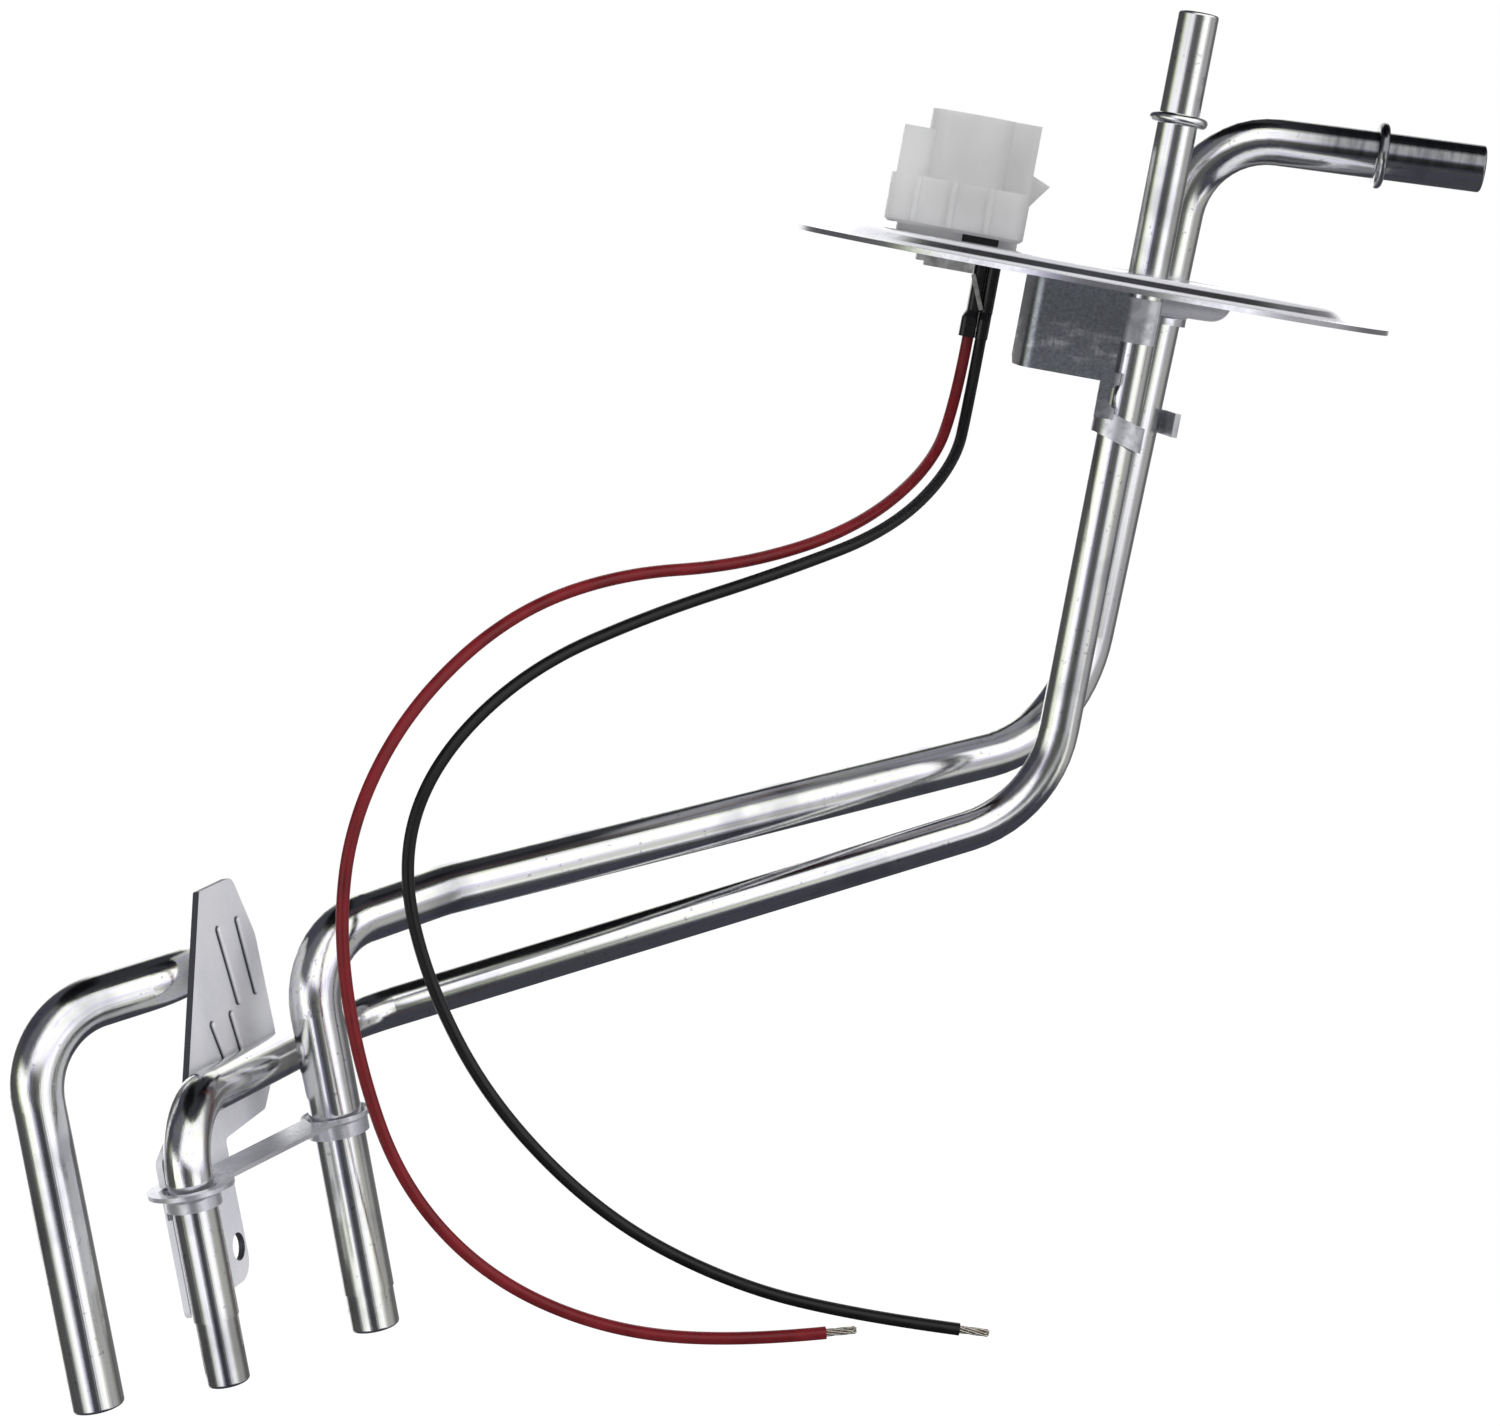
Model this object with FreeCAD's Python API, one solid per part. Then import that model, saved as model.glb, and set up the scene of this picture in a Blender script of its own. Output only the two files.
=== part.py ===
import FreeCAD, Part
import math
import os

# A fuel pump hanger: a stamped flange that closes the tank, two fuel tubes brazed through
# it, a nylon connector, and a cradle of tube legs and sheet that carries the pump.
# All sizes are in millimetres. The origin is the centre of the flange on its sealing face,
# the underside of the rim. +Z points out of the tank, +X towards the side nipple.

V = FreeCAD.Vector
UP = V(0, 0, 1)
RIGHT = V(1, 0, 0)
BACK = V(0, 1, 0)

# Flange
flange_diameter = 120.0
flange_sheet = 1.0
rim_width = 9.0
plateau_rise = 2.4
shoulder_run = 3.0
shoulder_bends = [1.2, 2.6]
dish_radius = 15.5
dish_floor_radius = 12.5
dish_depth = 6.3
collar_length = 2.6
flange_bend = 1.2
dish_bend = 3.5

# Tubes
return_diameter = 8.0
supply_diameter = 9.5
tube_wall = 0.9
braze_gap = 0.05
end_rounding = 0.6
return_bead_diameter = 11.6
supply_bead_diameter = 13.4
bead_width = 2.1

return_x = 9.6
return_y = -18.0
return_top = 54.4
return_bead_height = 33.7
return_foot = -104.0
return_bends = [25.0, 14.0, 12.0]

supply_x = 16.5
supply_y = 12.0
supply_turn_height = 33.2
nipple_reach = 57.8
nipple_forward = 2.0
nipple_climb = 2.7
supply_bead_reach = 37.1
supply_lean = -2.0
supply_foot = -92.7
supply_bends = [17.5, 28.0, 20.0, 14.0]

# Cradle: its own frame, across, back and rise, at the corner of the return tube's leg
cradle_left = 135.3
cradle_front = 134.0
cradle_drop = 162.3
cradle_tilt = 19.5
return_turn_across = 18.3
return_turn_back = 77.0
return_turn_drop = 5.9
return_leg = 48.9
return_swage = 11.8
supply_turn_across = 42.5
supply_turn_back = 58.0
supply_turn_rise = 19.5
supply_leg_across = 19.8
supply_leg_back = 36.0
supply_leg_top = 18.7
supply_leg = 54.0
supply_swage = 7.2
swage_step = 0.2
side_leg_across = -26.4
side_leg_back = 12.0
side_leg_top = 16.0
side_leg = 53.6
side_bends = [15.0, 15.0]
side_turn_far = 27.5
side_end_far = 46.0
side_run_rise = 16.8

# Sheet brackets
bracket_sheet = 1.2
bracket_bend = 1.6
panel_left = -11.2
panel_right = 6.3
panel_bottom = -18.2
panel_return = 8.8
panel_flare = 1.6
panel_chamfer = 3.0
bracket_foot_inset = 1.0
bracket_foot_length = 10.0
bracket_foot_right = -2.5
hook_top = -1.3
hook_bottom = -10.0
hook_reach = 3.4
band_top = -23.3
band_height = 4.9
band_slack = 0.3
band_drop = 3.1
band_tail = 0.6
band_end = 10.0
band_flare = 2.2
neck_left = 4.0
neck_right = 7.8
neck_waist = 2.1
neck_lap = 2.0

strap_drop = 14.0
strap_sheet = 0.8
strap_return_rim = 3.5
strap_return_bend = 1.6
strap_supply_rim = 1.6
strap_supply_bend = 1.0
strap_width = 8.0
strap_collar = 3.4
strap_lap = 0.1

plate_hole_diameter = 5.0
plate_hole = (21.9, -31.7)
plate_notch_gap = 0.15
rib_radius = 0.8

# Outline of the sender plate, as distance along it, rise, and rounding of each corner
plate_outline = [
    (32.8, 30.5, 0.6), (47.0, 30.0, 3.0), (52.5, 18.0, 6.0), (53.3, -0.8, 2.5), (51.0, -6.0, 1.5),
    (43.0, -12.6, 1.5), (24.8, -12.7, 1.0), (25.2, -38.0, 4.0), (-1.1, -37.0, 1.5), (-1.1, -9.0, 1.5),
    (13.1, -1.9, 4.0),
]
plate_ribs = [
    ((37.1, 22.4), (39.9, 8.6)), ((45.6, 22.1), (47.7, 8.5)),
    ((27.7, 7.3), (30.3, 0.4)), ((36.0, 7.0), (37.5, 0.3)),
]

# Connector
connector_x = -29.0
connector_y = -3.0
seal_thickness = 1.4
base_width = 27.7
base_depth = 20.0
base_height = 9.6
base_corner = 4.0
base_chamfer = 0.6
moulding_lap = 2.0
barrel_width = 17.6
barrel_depth = 18.0
barrel_flat = 0.9
barrel_top = 28.0
barrel_offset = 0.7
shoulder_depth = 11.0
shoulder_lap = 6.0
left_shoulder_inset = 0.8
right_shoulder_inset = 0.3
left_shoulder_top = 23.9
socket_wall = 1.5
socket_floor = 9.0
latch_reach = 3.4
latch_width = 8.0
latch_bottom = 11.6
latch_top = 18.4
latch_root = 0.4
latch_crest = 1.6
guide_rib = 0.7
guide_rib_places = [-8.6, -1.4, 6.0]
stem_left_inset = 5.65
stem_right_inset = 3.4
stem_depth = 9.0
stem_corner = 1.2
stem_reach = 3.0
stem_clearance = 0.3
seal_left_margin = 5.0
seal_right_margin = 1.5
seal_depth_margin = 1.5
seal_corner = 0.6
seal_fit = 0.05
seal_window = 7.3
housing_foot_inset = 2.8
housing_foot_right_inset = 1.0

# Terminals and wires
terminal_pitch = 2.6
contact_inset = 4.3
blade_thickness = 0.8
blade_width = 2.8
blade_fit = 0.05
blade_chamfer = 0.3
pin_top = 22.0
blade_bottom = -8.3
receptacle_gap = 0.1
receptacle_sheet = 0.35
receptacle_width = 5.6
receptacle_floor = 0.3
receptacle_top = -1.4
receptacle_bottom = -8.9
crimp_diameter = 2.0
crimp_bottom = -14.2
boot_thickness = 2.5
boot_width = 7.0
boot_top = -0.7
boot_neck = -9.7
boot_neck_drop = 1.6
boot_bottom = -15.1
boot_crimp_width = 4.4
boot_corner = 1.0
boot_gap = 0.3
boot_swell = 0.7
retainer_sheet = 1.2
retainer_step = 0.8
retainer_inset = 1.7
retainer_margin = 2.0
retainer_step_inset = 0.5
spring_thickness = 0.4
spring_width = 0.9
spring_corner = 0.2
spring_lean = 1.4
spring_top = -2.7
spring_bottom = -9.4
wire_diameter = 2.3
wire_drop = 13.1
strand_diameter = 1.5
strand_length = 5.5

# Sizes that follow from the ones above
flange_radius = flange_diameter / 2
flange_top = plateau_rise + flange_sheet
sheet_middle = plateau_rise + flange_sheet / 2
return_radius = return_diameter / 2
supply_radius = supply_diameter / 2
plate_front = return_radius + braze_gap
plate_back = plate_front + bracket_sheet
side_run_depth = plate_back + braze_gap + supply_radius
base_bottom = flange_top + seal_thickness
barrel_corner = barrel_width / 2 - barrel_flat
ground_x = connector_x + base_width / 2 - contact_inset
power_x = ground_x - terminal_pitch
seal_left = power_x - seal_left_margin
seal_right = ground_x + seal_right_margin
seal_x = (seal_left + seal_right) / 2
stem_width = base_width - stem_left_inset - stem_right_inset
stem_x = connector_x + (stem_left_inset - stem_right_inset) / 2
stem_bottom = plateau_rise - stem_reach
seal_depth = stem_depth + 2 * seal_depth_margin

# Routes of the two wires: straight down out of the boot, then corner points along each wire
red_route = [
    V(power_x, connector_y, boot_bottom), V(power_x, connector_y, boot_bottom - wire_drop),
    V(-25, -18.5, -41), V(-38, -42, -53.6), V(-58, -60, -62.3), V(-80, -76, -66.1),
    V(-97, -93, -74.9), V(-110, -106, -91.8), V(-116.2, -112, -111.8), V(-115.2, -113.5, -132),
    V(-108.2, -113.5, -154.2), V(-97.2, -112, -175.3), V(-80, -108, -190.4), V(-58, -104, -197.5),
    V(-35, -101.5, -196.5), V(-18, -100, -192),
]
black_route = [
    V(ground_x, connector_y, boot_bottom), V(ground_x, connector_y, boot_bottom - wire_drop),
    V(-20.5, -17.5, -40), V(-31, -39, -52.6), V(-50, -57, -62.3), V(-72, -75, -72.1), V(-92, -90.5, -84),
    V(-105.1, -99, -102), V(-107.7, -100.5, -121), V(-99.1, -100, -142.2), V(-84, -98.5, -162.4),
    V(-61, -96.5, -179.5), V(-36, -94.8, -188), V(-12, -93.2, -190), V(6.2, -92, -189.5),
]


def turn_of(before, corner, after):
    """Angle by which a path turns at its corner, in radians."""
    return (corner - before).getAngle(after - corner)


def bent_path(corners, bends):
    """Straight runs through the corners, joined by tangent arcs of the given radii."""
    edges = []
    start = corners[0]
    for before, corner, after, bend in zip(corners, corners[1:], corners[2:], bends):
        along = (corner - before).normalize()
        onward = (after - corner).normalize()
        half_turn = turn_of(before, corner, after) / 2
        setback = bend * math.tan(half_turn)
        arc_start = corner - along * setback
        arc_end = corner + onward * setback
        inward = (onward - along).normalize()
        arc_middle = corner + inward * (bend / math.cos(half_turn) - bend)
        if (arc_start - start).Length > 1e-6:
            edges.append(Part.LineSegment(start, arc_start).toShape())
        edges.append(Part.Arc(arc_start, arc_middle, arc_end).toShape())
        start = arc_end
    edges.append(Part.LineSegment(start, corners[-1]).toShape())
    return Part.Wire(edges)


def rod(corners, bends, diameter):
    """Round bar along a bent path."""
    along = corners[1] - corners[0]
    ring = Part.Wire(Part.Circle(corners[0], along, diameter / 2).toShape())
    return bent_path(corners, bends).makePipeShell([ring], True, False)


def tube(corners, bends, diameter, beads=()):
    """Bent tube with an open bore. Each bead is a place, an axis and a diameter."""
    body = rod(corners, bends, diameter)
    for place, axis, bead_diameter in beads:
        round_radius = bead_width / 2
        ring_radius = bead_diameter / 2 - round_radius
        core = Part.makeCylinder(ring_radius, bead_width, place - axis * round_radius, axis)
        body = body.fuse([core, Part.makeTorus(ring_radius, round_radius, place, axis)])
    return body.cut(rod(corners, bends, diameter - 2 * tube_wall))


def finished_end(body, end, before, diameter, swage=0):
    """Draws in the last stretch of a tube, where it has a swage, and rounds the edge at its end."""
    radius = diameter / 2
    if swage:
        back = (before - end).normalize()
        radius -= swage_step
        sleeve = Part.makeCylinder(diameter, swage, end, back)
        body = body.cut(sleeve.cut(Part.makeCylinder(radius, swage, end, back)))
    rims = [edge for edge in body.Edges
            if edge.Curve.TypeId == "Part::GeomCircle"
            and (edge.Curve.Center - end).Length < 1e-3
            and abs(edge.Curve.Radius - radius) < 1e-3]
    return body.makeFillet(end_rounding, rims)


def sheet_section(corners, bends, thickness, normal):
    """Face of a folded sheet seen from its edge, given the middle of the sheet."""
    sides = []
    for side in (1, -1):
        shift = side * thickness / 2
        points = []
        radii = []
        for index, corner in enumerate(corners):
            before = corners[max(index - 1, 0)]
            after = corners[min(index + 1, len(corners) - 1)]
            along = (corner - before if index else after - corner).normalize()
            onward = (after - corner if index < len(corners) - 1 else along * 1).normalize()
            left_in = normal.cross(along)
            left_out = normal.cross(onward)
            mitre = (left_in + left_out) * (1 / (1 + left_in.dot(left_out)))
            points.append(corner + mitre * shift)
            if 0 < index < len(corners) - 1:
                turns_left = normal.dot(along.cross(onward)) > 0
                radii.append(bends[index - 1] - shift if turns_left else bends[index - 1] + shift)
        sides.append((points, radii))
    left, right = sides
    edges = bent_path(*left).Edges + bent_path(*right).Edges
    edges.append(Part.LineSegment(left[0][0], right[0][0]).toShape())
    edges.append(Part.LineSegment(left[0][-1], right[0][-1]).toShape())
    return Part.Face(Part.Wire(Part.__sortEdges__(edges)))


def outline(corners, radii):
    """Face with straight sides and a rounding of its own at each corner."""
    middle = (corners[0] + corners[-1]) * 0.5
    return Part.Face(bent_path([middle] + corners + [middle], radii))


def block(width, depth, height, centre):
    """Upright box on the centre of its bottom face."""
    return Part.makeBox(width, depth, height, centre - V(width / 2, depth / 2, 0))


def rounded_box(width, depth, height, corner, centre):
    """Upright box with rounded vertical edges, on the centre of its bottom face."""
    box = block(width, depth, height, centre)
    uprights = [edge for edge in box.Edges if abs(edge.tangentAt(0).z) > 0.5]
    return box.makeFillet(corner, uprights)


def left_tangent(first, first_radius, second, second_radius):
    """Line that touches two circles on their left side: its unit normal and its offset."""
    along = (second - first).normalize()
    lean = (first_radius - second_radius) / (second - first).Length
    normal = UP.cross(along) * math.sqrt(1 - lean ** 2) + along * lean
    return normal, normal.dot(first) + first_radius


def in_cradle(point):
    """Point given across, back and rise in the cradle's frame."""
    return cradle_frame.multVec(point)


def in_plate(far, behind, rise):
    """Point given along the sender plate, behind its tube and up, in the cradle's frame."""
    return plate_turn.multVec(V(far, behind, rise))


cradle_corner = V(-cradle_left, -cradle_front, -cradle_drop)
cradle_frame = FreeCAD.Placement(cradle_corner, FreeCAD.Rotation(BACK, -cradle_tilt))
stretch = V(return_turn_across, return_turn_back, 0)
plate_turn = FreeCAD.Rotation(RIGHT, stretch)
plate_frame = cradle_frame.multiply(FreeCAD.Placement(V(0, 0, 0), plate_turn))

return_corners = [
    V(return_x, return_y, return_top),
    V(return_x, return_y, return_foot),
    in_cradle(V(return_turn_across, return_turn_back, -return_turn_drop)),
    in_cradle(V(0, 0, 0)),
    in_cradle(V(0, 0, -return_leg)),
]
supply_corners = [
    V(supply_x + nipple_reach, supply_y - nipple_forward, supply_turn_height + nipple_climb),
    V(supply_x, supply_y, supply_turn_height),
    V(supply_x + supply_lean, supply_y, supply_foot),
    in_cradle(V(supply_turn_across, supply_turn_back, supply_turn_rise)),
    in_cradle(V(supply_leg_across, supply_leg_back, supply_leg_top)),
    in_cradle(V(supply_leg_across, supply_leg_back, -supply_leg)),
]
side_corners = [
    in_cradle(in_plate(side_end_far, side_run_depth, side_run_rise)),
    in_cradle(in_plate(side_turn_far, side_run_depth, side_run_rise)),
    in_cradle(V(side_leg_across, side_leg_back, side_leg_top)),
    in_cradle(V(side_leg_across, side_leg_back, -side_leg)),
]


def on_supply_riser(height):
    """Centre of the supply tube's upright run at a height."""
    top, foot = supply_corners[1:3]
    return top + (foot - top) * ((top.z - height) / (top.z - foot.z))


def collar_profile(tube_radius, start_radius, floor):
    """Section of sheet that runs in from the plateau and is drawn down round a tube."""
    sleeve = tube_radius + braze_gap + flange_sheet / 2
    corners = [V(start_radius, 0, sheet_middle)]
    bends = [flange_bend]
    if floor < sheet_middle:
        corners += [V(dish_radius, 0, sheet_middle), V(dish_floor_radius, 0, floor)]
        bends += [dish_bend, flange_bend]
    corners += [V(sleeve, 0, floor), V(sleeve, 0, floor - collar_length)]
    return sheet_section(corners, bends, flange_sheet, BACK * -1)


def flange_plate():
    """Stamped disc with a raised middle, a dish and a drawn collar for each tube."""
    rim_inner = flange_radius - rim_width
    section = sheet_section(
        [V(flange_radius, 0, flange_sheet / 2), V(rim_inner, 0, flange_sheet / 2),
         V(rim_inner - shoulder_run, 0, sheet_middle), V(0, 0, sheet_middle)],
        shoulder_bends, flange_sheet, BACK * -1)
    disc = section.revolve(V(0, 0, 0), UP, 360)
    dish_start = dish_radius + dish_bend
    return_start = return_radius + 3 * flange_bend
    floor = sheet_middle - dish_depth
    riser = on_supply_riser(floor - collar_length / 2)
    under = plateau_rise - flange_sheet
    seats = [
        (V(return_x, return_y, 0), collar_profile(return_radius, return_start, sheet_middle), return_start),
        (V(riser.x, riser.y, 0), collar_profile(supply_radius, dish_start, floor), dish_start),
    ]
    for place, profile, start_radius in seats:
        disc = disc.cut(Part.makeCylinder(start_radius, 3 * flange_sheet, place + UP * under))
        profile.translate(place)
        disc = disc.fuse(profile.revolve(place, UP, 360))
    window = rounded_box(stem_width + 2 * stem_clearance, stem_depth + 2 * stem_clearance,
                         3 * flange_sheet, stem_corner + stem_clearance, V(stem_x, connector_y, under))
    return disc.cut(window).removeSplitter()


def return_tube():
    """Straight nipple with a bead, down through the flange, a long run and a leg."""
    bead = (V(return_x, return_y, return_bead_height), UP, return_bead_diameter)
    body = tube(return_corners, return_bends, return_diameter, [bead])
    body = finished_end(body, return_corners[0], return_corners[1], return_diameter)
    return finished_end(body, return_corners[-1], return_corners[-2], return_diameter, return_swage)


def supply_tube():
    """Side nipple with a bead, a bend down through the flange, a long run and a leg."""
    nipple = (supply_corners[0] - supply_corners[1]).normalize()
    bead = (supply_corners[1] + nipple * supply_bead_reach, nipple, supply_bead_diameter)
    body = tube(supply_corners, supply_bends, supply_diameter, [bead])
    body = finished_end(body, supply_corners[0], supply_corners[1], supply_diameter)
    return finished_end(body, supply_corners[-1], supply_corners[-2], supply_diameter, supply_swage)


def side_leg_tube():
    """Third leg, with its far end brazed along the back of the sender plate."""
    body = tube(side_corners, side_bends, supply_diameter)
    return finished_end(body, side_corners[-1], side_corners[-2], supply_diameter)


def tube_bracket():
    """Folded sheet under the flange: panel, foot, hook and a band round both tubes."""
    wrap = return_radius + braze_gap + bracket_sheet / 2
    panel_y = return_y - wrap
    panel_top = plateau_rise - bracket_sheet / 2
    return_end = V(panel_left - panel_flare, panel_y + panel_return, 0)

    plan = sheet_section([return_end, V(panel_left, panel_y, 0), V(panel_right, panel_y, 0)],
                         [bracket_bend], bracket_sheet, UP)
    panel = plan.extrude(UP * (panel_top - panel_bottom - bracket_bend))
    panel.translate(UP * panel_bottom)
    chamfer = Part.Face(Part.makePolygon([
        V(0, return_end.y + bracket_sheet, panel_bottom - bracket_sheet),
        V(0, return_end.y + bracket_sheet, panel_bottom + panel_chamfer),
        V(0, return_end.y - panel_chamfer, panel_bottom - bracket_sheet),
        V(0, return_end.y + bracket_sheet, panel_bottom - bracket_sheet)]))
    chamfer.translate(RIGHT * (panel_left - panel_return))
    panel = panel.cut(chamfer.extrude(RIGHT * (panel_return + bracket_bend)))

    foot_plan = sheet_section(
        [V(0, panel_y, panel_bottom + panel_chamfer), V(0, panel_y, panel_top),
         V(0, panel_y + bracket_foot_length, panel_top)], [bracket_bend], bracket_sheet, RIGHT)
    foot_left = panel_left + bracket_bend + bracket_foot_inset
    foot_plan.translate(RIGHT * foot_left)
    foot = foot_plan.extrude(RIGHT * (bracket_foot_right - foot_left))

    corner = V(return_x + wrap, panel_y, 0)
    hook_plan = sheet_section(
        [V(panel_left + panel_chamfer, panel_y, 0), corner, V(corner.x, return_y + wrap, 0)],
        [wrap], bracket_sheet, UP)
    hook = hook_plan.extrude(UP * (hook_top - hook_bottom))
    hook.translate(UP * hook_bottom)
    beyond = Part.makeBox(2 * wrap, 3 * wrap, hook_top - hook_bottom,
                          V(return_x + hook_reach, panel_y - bracket_sheet, hook_bottom))
    hook = hook.cut(beyond)

    riser = on_supply_riser(band_top - band_height / 2)
    riser.z = 0
    grip = supply_radius + braze_gap + bracket_sheet / 2 + band_slack
    normal, offset = left_tangent(V(return_x, return_y, 0), wrap, riser, grip)
    band_back = riser.y + grip
    front_turn, back_turn = [V((offset - normal.y * y) / normal.x, y, 0) for y in (panel_y, band_back)]
    band_plan = sheet_section(
        [V(corner.x, return_y + band_tail, 0), corner, front_turn, back_turn,
         V(riser.x + grip, band_back, 0), V(riser.x + grip + band_flare, band_back - band_end, 0)],
        [wrap, wrap, grip, grip], bracket_sheet, UP)
    level = band_plan.extrude(UP * -band_height)
    level.translate(UP * band_top)
    tall = band_plan.extrude(UP * -(band_height + band_drop))
    tall.translate(UP * band_top)
    # In front of the return tube the band slants down to its free end
    left, right, front = return_x - wrap, corner.x + bracket_sheet, panel_y - bracket_sheet
    zone = Part.makeBox(right - left + bracket_sheet, return_y - front, 2 * band_height,
                        V(left - bracket_sheet, front, band_top - 2 * band_height))
    zone = zone.fuse(Part.makeBox(right - return_x, band_tail + bracket_sheet, 2 * band_height,
                                  V(return_x, return_y, band_top - 2 * band_height)))
    slant = Part.Face(Part.makePolygon([
        V(left - bracket_sheet, front, band_top), V(left, front, band_top),
        V(right, front, band_top - band_drop), V(right, front, band_top - band_height - band_drop),
        V(left, front, band_top - band_height), V(left - bracket_sheet, front, band_top - band_height),
        V(left - bracket_sheet, front, band_top)])).extrude(BACK * (2 * wrap + band_tail))
    band = level.cut(zone).fuse(tall.common(zone).common(slant))

    neck = Part.makeBox(neck_right - neck_left, bracket_sheet, panel_bottom - band_top + 2 * neck_lap,
                        V(neck_left, panel_y - bracket_sheet / 2, band_top - neck_lap))
    hollow = (panel_bottom - band_top) / 2
    neck = neck.cut(Part.makeCylinder(hollow, 2 * bracket_sheet,
                                      V(neck_left + neck_waist + hollow, panel_y - bracket_sheet,
                                        panel_bottom - hollow), BACK))
    return panel.fuse([foot, hook, band, neck]).removeSplitter()


def sender_bracket():
    """Flat embossed plate in the cradle, with one hole and a notch for the tie strap."""
    corners = [V(far, 0, rise) for far, rise, radius in plate_outline]
    radii = [radius for far, rise, radius in plate_outline]
    plate = outline(corners, radii).extrude(BACK * bracket_sheet)
    plate.translate(BACK * plate_front)

    for (far_a, rise_a), (far_b, rise_b) in plate_ribs:
        rib_start = V(far_a, plate_front, rise_a)
        rib_end = V(far_b, plate_front, rise_b)
        rib = rod([rib_start, rib_end], [], 2 * rib_radius)
        plate = plate.fuse([rib, Part.makeSphere(rib_radius, rib_start),
                            Part.makeSphere(rib_radius, rib_end)])
    # Room for the tie strap: its flat ring, and the collar below that
    ring_height = strap_sheet + strap_return_bend
    strap_top = strap_sheet / 2 - strap_drop + plate_notch_gap
    for radius, height in ((return_radius + strap_return_rim, ring_height),
                           (return_radius + braze_gap + strap_sheet, ring_height + strap_collar)):
        notch = Part.makeCylinder(radius + plate_notch_gap, height, V(0, 0, strap_top - height))
        plate = plate.cut(notch)
    hole = Part.makeCylinder(plate_hole_diameter / 2, 3 * bracket_sheet,
                             V(plate_hole[0], plate_front - bracket_sheet, plate_hole[1]), BACK)
    plate = plate.cut(hole).removeSplitter()
    plate.Placement = plate_frame.multiply(plate.Placement)
    return plate


def tie_strap():
    """Sheet strap between the return and supply legs, with a collar drawn round each."""
    legs = [(V(0, 0, 0), return_radius, strap_return_rim, strap_return_bend),
            (V(supply_leg_across, supply_leg_back, 0), supply_radius, strap_supply_rim, strap_supply_bend)]
    middle = -strap_drop
    low = V(0, 0, middle - strap_sheet / 2)
    span = legs[1][0]
    aside = span.cross(UP).normalize() * (strap_width / 2)
    band = Part.Face(Part.makePolygon([aside, span + aside, span - aside, aside * -1, aside]))
    band.translate(low)
    strap = band.extrude(UP * strap_sheet)
    for centre, radius, rim, bend in legs:
        strap = strap.fuse(Part.makeCylinder(radius + rim, strap_sheet, centre + low))
    for centre, radius, rim, bend in legs:
        strap = strap.cut(Part.makeCylinder(radius + rim - strap_lap, 3 * strap_sheet,
                                            centre + low - UP * strap_sheet))
        sleeve = radius + braze_gap + strap_sheet / 2
        profile = sheet_section(
            [V(radius + rim, 0, middle), V(sleeve, 0, middle), V(sleeve, 0, middle - strap_collar)],
            [bend], strap_sheet, BACK * -1)
        profile.translate(centre)
        strap = strap.fuse(profile.revolve(centre, UP, 360))
    strap = strap.removeSplitter()
    strap.Placement = cradle_frame.multiply(strap.Placement)
    return strap


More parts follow.
